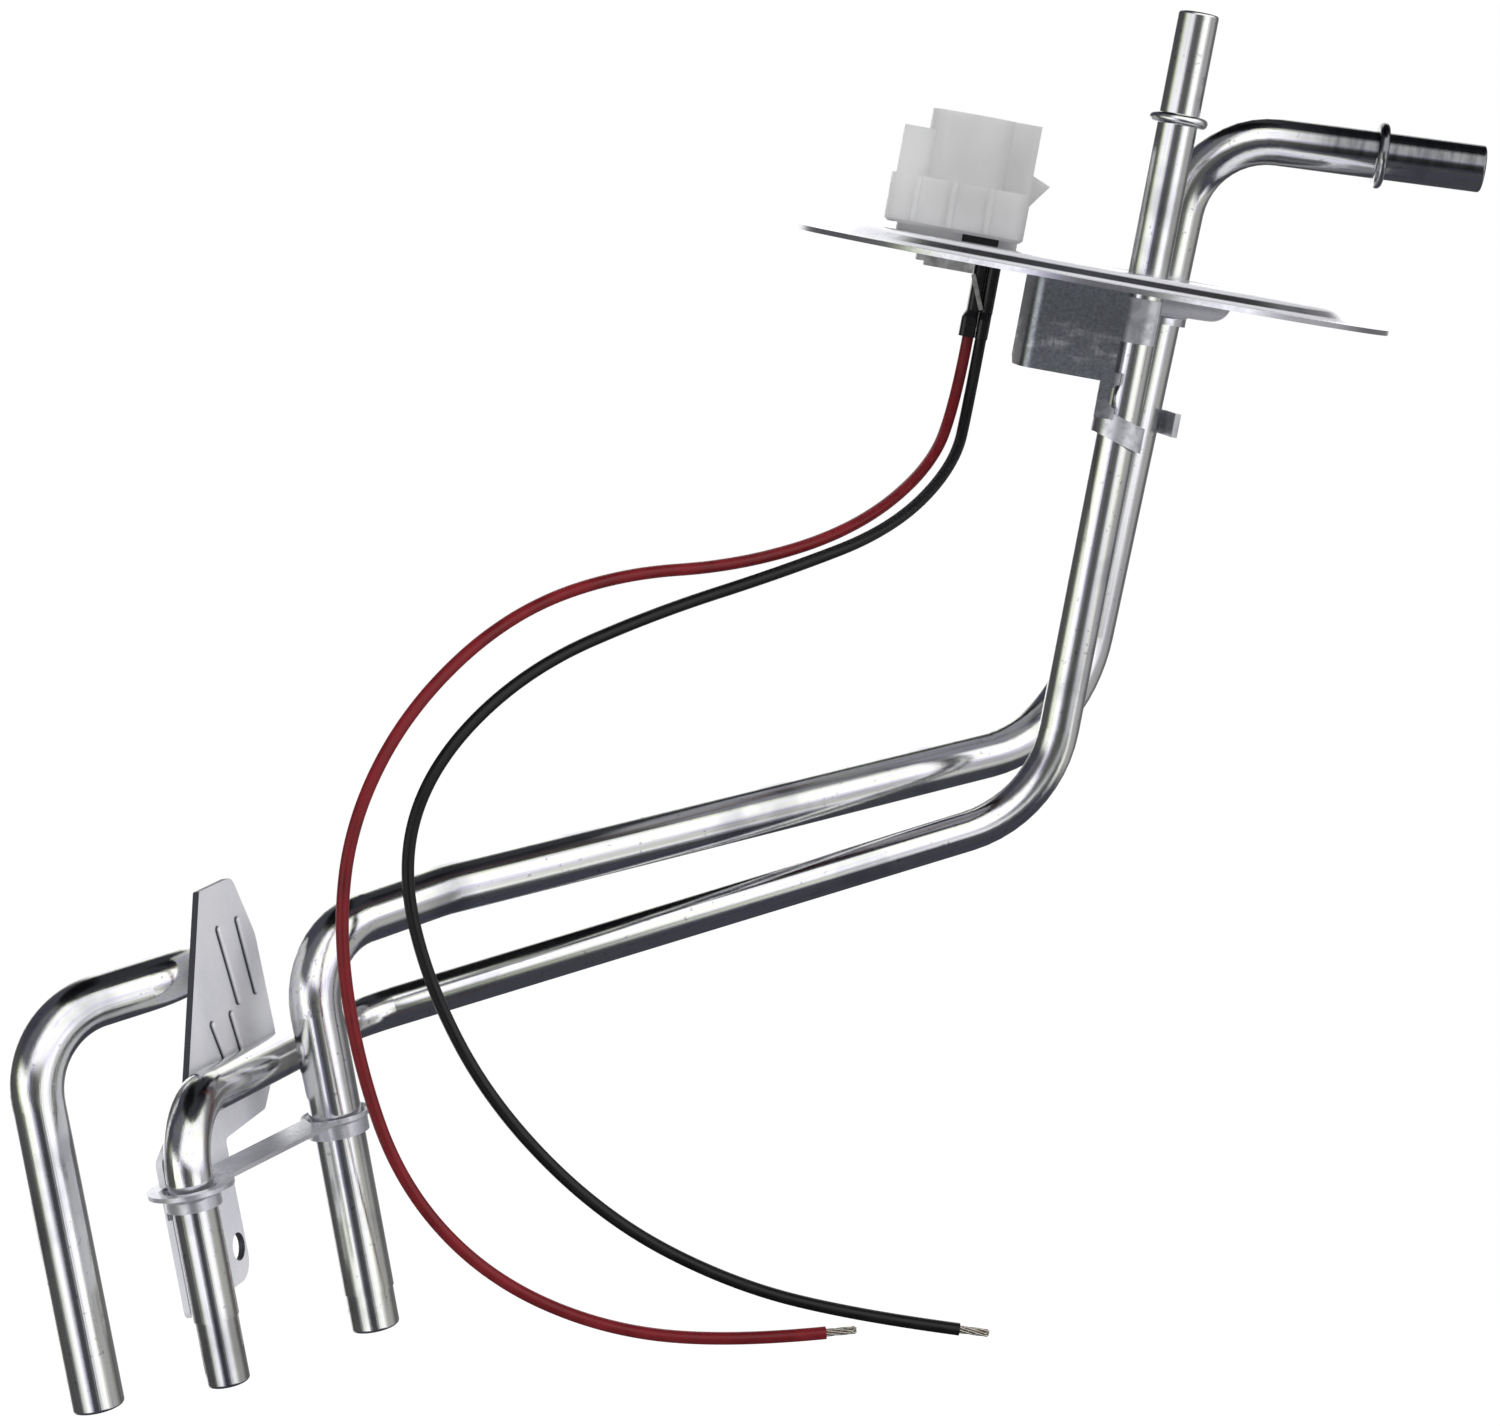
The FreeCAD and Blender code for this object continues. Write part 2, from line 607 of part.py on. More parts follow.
def connector_housing():
    """Moulded nylon socket: base, barrel, two shoulders, latch ramp and a stem."""
    base = rounded_box(base_width, base_depth, base_height, base_corner,
                       V(connector_x, connector_y, base_bottom))
    lower_rim = [edge for edge in base.Edges if edge.BoundBox.ZMax < base_bottom + 1e-6]
    base = base.makeChamfer(base_chamfer, lower_rim)

    barrel_x = connector_x + barrel_offset
    barrel = rounded_box(barrel_width, barrel_depth, barrel_top - base_bottom, barrel_corner,
                         V(barrel_x, connector_y, base_bottom))
    body_left = connector_x - base_width / 2
    body_right = connector_x + base_width / 2
    shoulder_width = (base_width - barrel_width) / 2 + shoulder_lap
    shoulder_bottom = base_bottom + moulding_lap
    shoulder_front = connector_y - shoulder_depth / 2
    left = Part.makeBox(shoulder_width, shoulder_depth, left_shoulder_top - shoulder_bottom,
                        V(body_left + left_shoulder_inset, shoulder_front, shoulder_bottom))
    right = Part.makeBox(shoulder_width, shoulder_depth, barrel_top - shoulder_bottom,
                         V(body_right - right_shoulder_inset - shoulder_width, shoulder_front,
                           shoulder_bottom))
    latch_face = Part.Face(Part.makePolygon([
        V(body_right - moulding_lap, 0, latch_bottom), V(body_right - latch_root, 0, latch_bottom),
        V(body_right + latch_reach, 0, latch_top - latch_crest), V(body_right - latch_root, 0, latch_top),
        V(body_right - moulding_lap, 0, latch_top), V(body_right - moulding_lap, 0, latch_bottom)]))
    latch_face.translate(BACK * (connector_y - latch_width / 2))
    latch = latch_face.extrude(BACK * latch_width)
    foot_left = body_left + housing_foot_inset
    foot_right = body_right - housing_foot_right_inset
    foot = block(foot_right - foot_left, base_depth - 2 * housing_foot_inset,
                 seal_thickness + moulding_lap, V((foot_left + foot_right) / 2, connector_y, flange_top))
    # The seal lies in a pocket of the foot, with a window in the pocket's front wall
    pocket = block(seal_right - seal_left + 2 * seal_fit, seal_depth + 2 * seal_fit, seal_thickness,
                   V(seal_x, connector_y, flange_top))
    window = Part.makeBox(seal_window, base_depth / 2, seal_thickness,
                          V(seal_left - seal_fit, connector_y - base_depth / 2, flange_top))
    foot = foot.cut(pocket.fuse(window))
    body = base.fuse([barrel, left, right, latch, foot])

    for place in guide_rib_places:
        rib_foot = V(connector_x + place, connector_y - base_depth / 2, base_bottom + base_chamfer)
        body = body.fuse(Part.makeCylinder(guide_rib, base_height - base_chamfer, rib_foot))

    socket_height = barrel_top - socket_floor + socket_wall
    socket = rounded_box(barrel_width - 2 * socket_wall, barrel_depth - 2 * socket_wall, socket_height,
                         barrel_corner - socket_wall, V(barrel_x, connector_y, socket_floor))
    side_socket = Part.makeBox(
        body_right - socket_wall - connector_x, shoulder_depth - 2 * socket_wall, socket_height,
        V(connector_x, shoulder_front + socket_wall, socket_floor))
    stem = rounded_box(stem_width, stem_depth, base_bottom - stem_bottom, stem_corner,
                       V(stem_x, connector_y, stem_bottom))
    body = body.cut(socket.fuse(side_socket)).fuse(stem)
    for place in (power_x, ground_x):
        body = body.cut(block(blade_thickness + 2 * blade_fit, blade_width + 2 * blade_fit,
                              socket_floor - stem_bottom + 2 * moulding_lap,
                              V(place, connector_y, stem_bottom - moulding_lap)))
    return body.removeSplitter()


def connector_seal():
    """Flat rubber seal round the contacts, between the housing and the flange."""
    seal = rounded_box(seal_right - seal_left, seal_depth, seal_thickness, seal_corner,
                       V(seal_x, connector_y, flange_top))
    return seal.cut(rounded_box(stem_width + 2 * seal_fit, stem_depth + 2 * seal_fit,
                                3 * seal_thickness, stem_corner + seal_fit,
                                V(stem_x, connector_y, flange_top - seal_thickness)))


def retainer_plate():
    """Stepped metal plate that holds the stem under the flange."""
    left = stem_x - stem_width / 2 + retainer_margin
    right = power_x - boot_thickness / 2 - boot_gap
    wide = Part.makeBox(right - left, stem_depth, retainer_sheet,
                        V(left, connector_y - stem_depth / 2, stem_bottom - retainer_sheet))
    step = Part.makeBox(right - left - retainer_inset, stem_depth - 2 * retainer_step_inset,
                        retainer_step,
                        V(left + retainer_inset, connector_y - stem_depth / 2 + retainer_step_inset,
                          stem_bottom - retainer_sheet - retainer_step))
    return wide.fuse(step).removeSplitter()


def contact_pin(place):
    """Flat contact that stands in the socket and reaches down through the stem."""
    pin = block(blade_thickness, blade_width, pin_top - blade_bottom,
                V(place, connector_y, blade_bottom))
    tip = [edge for edge in pin.Edges
           if edge.BoundBox.ZMin > pin_top - 1e-6 and edge.BoundBox.YLength > blade_width / 2]
    return pin.makeChamfer(blade_chamfer, tip)


def receptacle_outside(place):
    """Sheet receptacle seen as a full block, with a round crimp for the wire."""
    box = block(blade_thickness + 2 * (receptacle_gap + receptacle_sheet), receptacle_width,
                receptacle_top - receptacle_bottom, V(place, connector_y, receptacle_bottom))
    crimp = Part.makeCylinder(crimp_diameter / 2, receptacle_bottom - crimp_bottom,
                              V(place, connector_y, crimp_bottom))
    return box.fuse(crimp)


def receptacle(place):
    """Sheet receptacle that grips the contact, open at its top."""
    slot = block(blade_thickness + 2 * receptacle_gap, receptacle_width - 2 * receptacle_sheet,
                 receptacle_top - receptacle_bottom,
                 V(place, connector_y, receptacle_bottom + receptacle_floor))
    return receptacle_outside(place).cut(slot).removeSplitter()


def boot(place, swell):
    """Black sleeve over a receptacle, drawn in to a crimp at the wire, which may swell to the left."""
    def part_of_boot(width, top, bottom, extra):
        return rounded_box(boot_thickness + extra, width, top - bottom, boot_corner,
                           V(place - extra / 2, connector_y, bottom))

    neck_bottom = boot_neck - boot_neck_drop
    upper = part_of_boot(boot_width, boot_top, boot_neck, 0)
    sleeve = part_of_boot(boot_crimp_width, neck_bottom, boot_bottom, swell)
    rims = [min(upper.Faces, key=lambda face: face.CenterOfMass.z).OuterWire,
            max(sleeve.Faces, key=lambda face: face.CenterOfMass.z).OuterWire]
    body = upper.fuse([Part.makeLoft(rims, True, True), sleeve]).removeSplitter()
    mouth = block(blade_thickness + 2 * (receptacle_gap + receptacle_sheet), receptacle_width,
                  boot_top - receptacle_bottom, V(place, connector_y, receptacle_bottom))
    return body.cut(mouth).cut(receptacle_outside(place))


def lock_spring():
    """Bright spring strip that lies slanted across the front of the boots."""
    front = connector_y - boot_width / 2 - spring_thickness
    top = V(power_x - spring_lean, 0, spring_top)
    bottom = V(power_x + spring_lean, 0, spring_bottom)
    along = (bottom - top).normalize()
    aside = V(along.z, 0, -along.x) * (spring_width / 2)
    corners = [top + aside, bottom + aside, bottom - aside, top - aside]
    face = outline(corners, [spring_corner] * len(corners))
    face.translate(BACK * front)
    return face.extrude(BACK * spring_thickness)


def cord_bends(route):
    """Radius of each bend of a wire: as large as its two runs allow."""
    bends = []
    for before, corner, after in zip(route, route[1:], route[2:]):
        shorter = min((corner - before).Length, (after - corner).Length)
        bends.append(0.45 * shorter / math.tan(turn_of(before, corner, after) / 2))
    return bends


def wire_strands(route):
    """Stripped and tinned end of a wire."""
    along = (route[-1] - route[-2]).normalize()
    return Part.makeCylinder(strand_diameter / 2, strand_length, route[-1], along)


def main():
    os.makedirs("parts", exist_ok=True)
    shapes = {
        "flange_plate": flange_plate(),
        "return_tube": return_tube(),
        "supply_tube": supply_tube(),
        "side_leg_tube": side_leg_tube(),
        "tube_bracket": tube_bracket(),
        "sender_bracket": sender_bracket(),
        "tie_strap": tie_strap(),
        "connector_housing": connector_housing(),
        "connector_seal": connector_seal(),
        "retainer_plate": retainer_plate(),
        "lock_spring": lock_spring(),
    }
    for name, place, swell in (("power", power_x, boot_swell), ("ground", ground_x, 0)):
        shapes[name + "_pin"] = contact_pin(place)
        shapes[name + "_terminal"] = receptacle(place)
        shapes[name + "_boot"] = boot(place, swell)
    for name, route in (("red_wire", red_route), ("black_wire", black_route)):
        bends = cord_bends(route)
        print(name, "bend radii", [round(bend, 1) for bend in bends])
        shapes[name] = rod(route, bends, wire_diameter)
        path_length = bent_path(route, bends).Length
        print(name, "length", round(path_length, 1), "volume share",
              round(shapes[name].Volume / (math.pi * wire_diameter ** 2 / 4 * path_length), 4))
        shapes[name + "_strands"] = wire_strands(route)
    for name, shape in shapes.items():
        print(name, "valid", shape.isValid(), "solids", len(shape.Solids), "volume", round(shape.Volume, 1))
        shape.exportStep("parts/" + name + ".step")


main()
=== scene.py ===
import bpy
import math
from mathutils import Matrix, Vector


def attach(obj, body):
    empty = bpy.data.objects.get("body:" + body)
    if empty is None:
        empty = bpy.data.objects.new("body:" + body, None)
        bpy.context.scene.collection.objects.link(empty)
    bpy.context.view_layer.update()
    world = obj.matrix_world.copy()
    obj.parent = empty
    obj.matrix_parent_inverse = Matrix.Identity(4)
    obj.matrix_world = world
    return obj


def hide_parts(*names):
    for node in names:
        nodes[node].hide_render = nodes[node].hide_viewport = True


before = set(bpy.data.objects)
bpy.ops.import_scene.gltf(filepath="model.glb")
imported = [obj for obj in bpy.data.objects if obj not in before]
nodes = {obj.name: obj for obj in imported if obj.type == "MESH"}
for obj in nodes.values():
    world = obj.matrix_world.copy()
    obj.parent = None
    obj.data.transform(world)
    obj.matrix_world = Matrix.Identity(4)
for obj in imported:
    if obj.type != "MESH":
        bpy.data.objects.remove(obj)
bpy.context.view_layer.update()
print("frame loaded:", len(nodes), "nodes")


# Small helpers

def srgb(hexText):
    values = [int(hexText[i:i + 2], 16) / 255 for i in (1, 3, 5)]
    return [v / 12.92 if v <= 0.04045 else ((v + 0.055) / 1.055) ** 2.4 for v in values] + [1]


def addNode(tree, kind, settings=None, links=None):
    node = tree.nodes.new("ShaderNode" + kind)
    for key, value in (settings or {}).items():
        if isinstance(key, int) or key[0].isupper():  # a socket, by its number or its name
            node.inputs[key].default_value = value
        else:
            setattr(node, key, value)
    for socket, source in (links or {}).items():
        tree.links.new(source, node.inputs[socket])
    return node


def newMaterial(name, settings):
    material = bpy.data.materials.new(name)
    material.use_nodes = True
    shader = material.node_tree.nodes["Principled BSDF"]
    for key, value in settings.items():
        shader.inputs[key].default_value = value
    return material, material.node_tree, shader


def setRamp(node, stops):
    # A stop's colour is hex text, or a number for a linear grey
    stops = list(stops)
    ramp = node.color_ramp
    while len(ramp.elements) < len(stops):
        ramp.elements.new(0.5)
    for element, (at, colour) in zip(ramp.elements, stops):
        element.position = at
        element.color = srgb(colour) if isinstance(colour, str) else [colour] * 3 + [1]
    return node


def place(mm):
    return Vector(mm) / 1000


# Camera: an 84 mm lens, a little above the flange and turned about its own axis

camera = {"lens": 84, "mm": (-51.5, -708, 9.5), "pitch": 8.67, "roll": 10.3, "near": 0.05, "far": 50}


def makeCamera(c):
    data = bpy.data.cameras.new("camera")
    data.lens = c["lens"]
    data.clip_start = c["near"]
    data.clip_end = c["far"]
    thing = bpy.data.objects.new("camera", data)
    bpy.context.scene.collection.objects.link(thing)
    pitch, roll = math.radians(c["pitch"]), math.radians(c["roll"])
    forward = Vector((0, math.cos(pitch), -math.sin(pitch)))
    up = Vector((0, math.sin(pitch), math.cos(pitch)))
    across = Vector((math.cos(roll), 0, 0)) + math.sin(roll) * up
    upright = Vector((-math.sin(roll), 0, 0)) + math.cos(roll) * up
    turn = Matrix((across, upright, -forward)).transposed().to_4x4()
    thing.matrix_world = Matrix.Translation(place(c["mm"])) @ turn
    bpy.context.scene.camera = thing


makeCamera(camera)
print("camera set")


# Cords: the two pump wires, along the same points as their solids, in millimetres

wires = {
    "thick": 2.3,
    "red": {
        "length": 342.8,
        "route": [
            (-22.05, -3, -15.1), (-22.05, -3, -28.2), (-25, -18.5, -41), (-38, -42, -53.6),
            (-58, -60, -62.3), (-80, -76, -66.1), (-97, -93, -74.9), (-110, -106, -91.8),
            (-116.2, -112, -111.8), (-115.2, -113.5, -132), (-108.2, -113.5, -154.2),
            (-97.2, -112, -175.3), (-80, -108, -190.4), (-58, -104, -197.5), (-35, -101.5, -196.5),
            (-18, -100, -192),
        ],
    },
    "black": {
        "length": 330.6,
        "route": [
            (-19.45, -3, -15.1), (-19.45, -3, -28.2), (-20.5, -17.5, -40), (-31, -39, -52.6),
            (-50, -57, -62.3), (-72, -75, -72.1), (-92, -90.5, -84), (-105.1, -99, -102),
            (-107.7, -100.5, -121), (-99.1, -100, -142.2), (-84, -98.5, -162.4), (-61, -96.5, -179.5),
            (-36, -94.8, -188), (-12, -93.2, -190), (6.2, -92, -189.5),
        ],
    },
    "strands": 7,  # one in the middle and the others round it
    "strandLength": 5.5,
    "strandSpread": 0.52,
    "strandThick": 0.42,
    "strandTurns": 0.35,
    "strandSteps": 8,
    "strandUneven": 0.05,
}


def makeWire(name, route, thick):
    data = bpy.data.curves.new(name, "CURVE")
    data.dimensions = "3D"
    spline = data.splines.new("NURBS")
    spline.points.add(len(route) - 1)
    for point, mm in zip(spline.points, route):
        point.co = (*place(mm), 1)
        # The size is in the points, as a curve's box is wider by its points' radius
        point.radius = thick / 2000
    spline.order_u = 3
    spline.use_endpoint_u = True
    spline.resolution_u = 16
    data.bevel_depth = 1
    data.bevel_resolution = 6
    data.use_fill_caps = True
    wire = bpy.data.objects.new(name, data)
    bpy.context.scene.collection.objects.link(wire)
    return wire


def makeStrands(name, route, w):
    # Thin strands with a slight twist, bared at the wire's end
    start, before = place(route[-1]), place(route[-2])
    along = (start - before).normalized()
    aside = along.cross(Vector((0, 0, 1))).normalized()
    other = along.cross(aside)
    data = bpy.data.curves.new(name, "CURVE")
    data.dimensions = "3D"
    steps = w["strandSteps"]
    for strand in range(w["strands"]):
        out = 0 if strand == 0 else w["strandSpread"] / 1000
        spline = data.splines.new("POLY")
        spline.points.add(steps)
        for step in range(steps + 1):
            share = step / steps
            angle = strand * math.tau / (w["strands"] - 1) + share * w["strandTurns"] * math.tau
            reach = share * w["strandLength"] / 1000 * (1 - w["strandUneven"] * (strand * 5 % 3))
            spot = start + along * reach + out * (math.cos(angle) * aside + math.sin(angle) * other)
            spline.points[step].co = (*spot, 1)
            spline.points[step].radius = w["strandThick"] / 2000
    data.bevel_depth = 1
    data.bevel_resolution = 2
    data.use_fill_caps = True
    strands = bpy.data.objects.new(name, data)
    bpy.context.scene.collection.objects.link(strands)
    return strands


pieces = {}
for colour in ("red", "black"):
    w = wires[colour]
    wire = makeWire(colour + "Wire", w["route"], wires["thick"])
    tip = makeStrands(colour + "Strands", w["route"], wires)
    for piece, node in ((wire, colour + "_wire"), (tip, colour + "_wire_strands")):
        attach(piece, "root")
        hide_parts(node)
        pieces[piece.name] = piece
print("wires laid")


# Materials. Sizes of patterns are in millimetres. Four numbers for a range are where it starts and ends,
# then what it gives there; two numbers give 0 and 1

def perMetre(mm):
    return [1000 / size for size in mm] if isinstance(mm, tuple) else 1000 / mm


def span(values):
    return dict(enumerate(values, 1))  # the sockets of a Map Range node


def connect(shader, outputs):
    for socket, output in outputs.items():
        shader.id_data.links.new(output, shader.inputs[socket])


drawnTube = {
    # The tube's colour: painted reflection streaks, lighter and darker along the tube, with the plating's
    # tint
    "tintAndPaintedStreaks": [(0.3, "#CAC8D6"), (0.48, "#E2E2E6"), (0.56, "#DDDFD4"), (0.7, "#E2E2E6")],
    "worn": "#8E8E98",
    # Painted shade on the upper side of the side nipple
    "paintedNippleShade": "#55565C",
    "linesAndPaintedStreaks": 7,  # drawn lines and painted reflection streaks, by the surface direction, which is the same all along a straight tube
    "lineMm": 45.45,  # how far along the tube a line keeps its tone
    "patchMm": 18.18,
    "patch": (0.56, 0.72, 0.0, 0.55),
    "speckMm": 1.111,
    "speck": (0.66, 0.72, 0.0, 0.5),
    "nippleShadeFrom": (0.030, 0.044),  # on the side nipple, by X in metres
    "nippleShadeUpper": (-0.3, -0.12),  # its upper side, by the surface direction's Z
    "shadeRingMm": (1.429, 7.692, 7.692),
    "shadeRing": (0.3, 0.6, 0.95, 0.8),
    "rough": (0.3, 0.75, 0.09, 0.2),
    "fineLines": 30,
    "bump": 0.25,
    "bumpMm": 0.06,
}


def zincTube(m):
    # Drawn steel tube, bright zinc plate: mirror-like with fine lines along the tube, and painted reflection
    # streaks with the plating's tint in its colour
    material, tree, shader = newMaterial("brightZincPlatedDrawnTube", {"Metallic": 1.0})
    coords = addNode(tree, "TexCoord")
    spot, way = coords.outputs["Object"], coords.outputs["Normal"]
    turned = addNode(tree, "VectorMath", {"operation": "SCALE", "Scale": m["linesAndPaintedStreaks"]}, {0: way})
    slow = addNode(tree, "VectorMath", {"operation": "SCALE", "Scale": perMetre(m["lineMm"])}, {0: spot})
    both = addNode(tree, "VectorMath", {"operation": "ADD"}, {0: turned.outputs[0], 1: slow.outputs[0]})
    linesAndPaintedStreaks = addNode(tree, "TexNoise", {"Scale": 1.0, "Detail": 5, "Roughness": 0.62}, {0: both.outputs[0]})
    # Painted reflection: the surface-direction noise makes light and dark streaks in the colour
    tintAndPaintedStreaks = setRamp(addNode(tree, "ValToRGB", links={0: linesAndPaintedStreaks.outputs[0]}), m["tintAndPaintedStreaks"])
    clouds = addNode(tree, "TexNoise", {"Scale": perMetre(m["patchMm"]), "Detail": 3}, {0: spot})
    patch = addNode(tree, "MapRange", span(m["patch"]), {0: clouds.outputs[0]})
    specks = addNode(tree, "TexNoise", {"Scale": perMetre(m["speckMm"]), "Detail": 2}, {0: spot})
    speck = addNode(tree, "MapRange", span(m["speck"]), {0: specks.outputs[0]})
    worn = addNode(tree, "Math", {"operation": "MAXIMUM"}, {0: patch.outputs[0], 1: speck.outputs[0]})
    colour = addNode(tree, "Mix", {"data_type": "RGBA", 7: srgb(m["worn"])},
                     {0: worn.outputs[0], 6: tintAndPaintedStreaks.outputs[0]})
    # The upper side of the side nipple gets painted shade, dark in ring-shaped patches along it
    axes = addNode(tree, "SeparateXYZ", links={0: spot})
    facing = addNode(tree, "SeparateXYZ", links={0: way})
    out = addNode(tree, "MapRange", span(m["nippleShadeFrom"]), {0: axes.outputs["X"]})
    upper = addNode(tree, "MapRange", span(m["nippleShadeUpper"]), {0: facing.outputs["Z"]})
    rings = addNode(tree, "Mapping", {"Scale": perMetre(m["shadeRingMm"])}, {0: spot})
    shadeRings = addNode(tree, "TexNoise", {"Scale": 1.0, "Detail": 3}, {0: rings.outputs[0]})
    patchy = addNode(tree, "MapRange", span(m["shadeRing"]), {0: shadeRings.outputs[0]})
    where = addNode(tree, "Math", {"operation": "MULTIPLY"}, {0: out.outputs[0], 1: upper.outputs[0]})
    paintedNippleShade = addNode(tree, "Math", {"operation": "MULTIPLY"}, {0: where.outputs[0], 1: patchy.outputs[0]})
    nippleShaded = addNode(tree, "Mix", {"data_type": "RGBA", 7: srgb(m["paintedNippleShade"])},
                     {0: paintedNippleShade.outputs[0], 6: colour.outputs[2]})
    rough = addNode(tree, "MapRange", span(m["rough"]), {0: linesAndPaintedStreaks.outputs[0]})
    fine = addNode(tree, "VectorMath", {"operation": "SCALE", "Scale": m["fineLines"]}, {0: way})
    drawn = addNode(tree, "TexNoise", {"Scale": 1.0, "Detail": 3}, {0: fine.outputs[0]})
    bump = addNode(tree, "Bump", {"Strength": m["bump"], "Distance": m["bumpMm"] / 1000},
                   {"Height": drawn.outputs[0]})
    connect(shader, {"Base Color": nippleShaded.outputs[2], "Roughness": rough.outputs[0],
                     "Normal": bump.outputs[0]})
    return material


# Shared by the three stamped sheets: the plating's clouds and grain, and a less metallic underside, painted
# lighter
plating = {
    "cloudMm": 16.667,
    "grainShare": 0.35,
    "tones": (0.5, 0.85),
    "underside": (-0.6, -0.1),  # by the surface direction's Z
    "undersideMetal": 0.3,
    "sheen": (0.45, 0.9, 0.08, -0.06),  # what the clouds add to the roughness
    "bump": 0.2,
}
flange = {
    "name": "stampedZincPlatedFlange", "light": "#E2E2E8", "shade": "#C9C9D2",
    "metal": 0.95, "rough": 0.2, "grainMm": 0.9, "bumpMm": 0.015,
    # Painted highlight: two pale, less metallic bands on the step, by height
    "stepHighlight": "#F6F6FC",
    "stepMm": 4,
    "unhighlighted": [(0.24, 1.0), (0.27, 0.12), (0.37, 0.12), (0.41, 1.0), (0.62, 1.0), (0.68, 0.15),
             (0.8, 0.15), (0.845, 1.0)],
}
plate = {
    "name": "stampedZincPlatedPlate", "light": "#FBFBFF", "shade": "#ECEDF5",
    "metal": 0.1, "rough": 0.42, "grainMm": 0.5, "bumpMm": 0.05,
    # The sheared edge is dark, away from the front of the plate
    "sheared": "#3E3F46",
    "face": (-0.917, 0.231, -0.325),
    "edge": (0.75, 0.35),
    "behind": (-0.132, -0.127),
}
strap = {
    "name": "stampedZincPlatedStrap", "light": "#E4E5EA", "shade": "#C2C3CA",
    "metal": 0.75, "rough": 0.3, "grainMm": 0.5, "bumpMm": 0.04,
}


def zincSheet(m):
    # Stamped sheet, zinc plated: satin, pale lavender grey with a fine grain
    m = {**plating, **m}
    material, tree, shader = newMaterial(m["name"], {"Roughness": m["rough"]})
    coords = addNode(tree, "TexCoord")
    spot, way = coords.outputs["Object"], coords.outputs["Normal"]
    facing = addNode(tree, "SeparateXYZ", links={0: way})
    axes = addNode(tree, "SeparateXYZ", links={0: spot})
    # Painted light: downward faces are less metallic, so they show the pale plating colour instead of a dark
    # reflection
    metal = addNode(tree, "MapRange", span((*m["underside"], m["metal"] * m["undersideMetal"], m["metal"])),
                    {0: facing.outputs["Z"]})
    clouds = addNode(tree, "TexNoise", {"Scale": perMetre(m["cloudMm"]), "Detail": 6, "Roughness": 0.6},
                     {0: spot})
    grain = addNode(tree, "TexNoise", {"Scale": perMetre(m["grainMm"]), "Detail": 2}, {0: spot})
    mixed = addNode(tree, "Math", {"operation": "MULTIPLY_ADD", 1: m["grainShare"]},
                    {0: grain.outputs[0], 2: clouds.outputs[0]})
    tone = setRamp(addNode(tree, "ValToRGB", links={0: mixed.outputs[0]}),
                   zip(m["tones"], (m["shade"], m["light"])))
    colour = tone.outputs[0]
    if "stepHighlight" in m:
        # Painted highlight lines on the step, by height
        step = addNode(tree, "MapRange", span((0.0, m["stepMm"] / 1000)), {0: axes.outputs["Z"]})
        unhighlighted = setRamp(addNode(tree, "ValToRGB", links={0: step.outputs[0]}), m["unhighlighted"])
        metal = addNode(tree, "Math", {"operation": "MULTIPLY"}, {0: metal.outputs[0], 1: unhighlighted.outputs[0]})
        paler = addNode(tree, "Mix", {"data_type": "RGBA", 6: srgb(m["stepHighlight"])},
                        {0: unhighlighted.outputs[0], 7: colour})
        colour = paler.outputs[2]
    if "sheared" in m:
        across = addNode(tree, "VectorMath", {"operation": "DOT_PRODUCT", 1: m["face"]}, {0: way})
        flat = addNode(tree, "Math", {"operation": "ABSOLUTE"}, {0: across.outputs["Value"]})
        side = addNode(tree, "MapRange", span(m["edge"]), {0: flat.outputs[0]})
        behind = addNode(tree, "MapRange", span(m["behind"]), {0: axes.outputs["Y"]})
        edge = addNode(tree, "Math", {"operation": "MULTIPLY"}, {0: side.outputs[0], 1: behind.outputs[0]})
        rimmed = addNode(tree, "Mix", {"data_type": "RGBA", 7: srgb(m["sheared"])},
                         {0: edge.outputs[0], 6: colour})
        colour = rimmed.outputs[2]
    start, end, more, less = m["sheen"]
    rough = addNode(tree, "MapRange", span((start, end, m["rough"] + more, m["rough"] + less)),
                    {0: mixed.outputs[0]})
    bump = addNode(tree, "Bump", {"Strength": m["bump"], "Distance": m["bumpMm"] / 1000},
                   {"Height": grain.outputs[0]})
    connect(shader, {"Base Color": colour, "Metallic": metal.outputs[0],
                     "Roughness": rough.outputs[0], "Normal": bump.outputs[0]})
    return material


bracket = {
    "plate": "#878B91", "pale": "#AEB2B8", "rub": "#E6E7EA", "edgeHighlight": "#DCDDE2", "stain": "#C0C2C8",
    "speckleMm": 0.6667,
    "speckle": (0.36, 0.68),
    "strokeMm": (0.4167, 3.333, 2.381),  # rubs are short rows of upright strokes
    "stroke": (0.3, 0.7),
    "rowMm": (5.263, 5.263, 1.667),
    "row": (0.5, 0.68),
    "rowTop": (-0.007, -0.01),  # most of them are half way down the panel, by Z in metres
    "rowFoot": (-0.0165, -0.0135),
    "stainMm": 2.381,
    "stains": (0.4, 0.56),
    "hook": (0.0066, 0.0076),  # painted highlight on the hook, by X
    "band": (-0.0215, -0.0228),  # painted highlight on the band, by Z
    "metal": (0, 1, 1.0, 0.5),  # in the rubs and on the hook the metal is matt
    "rough": (0, 1, 0.33, 0.27),
    "bump": 0.4,
    "bumpMm": 0.05,
}


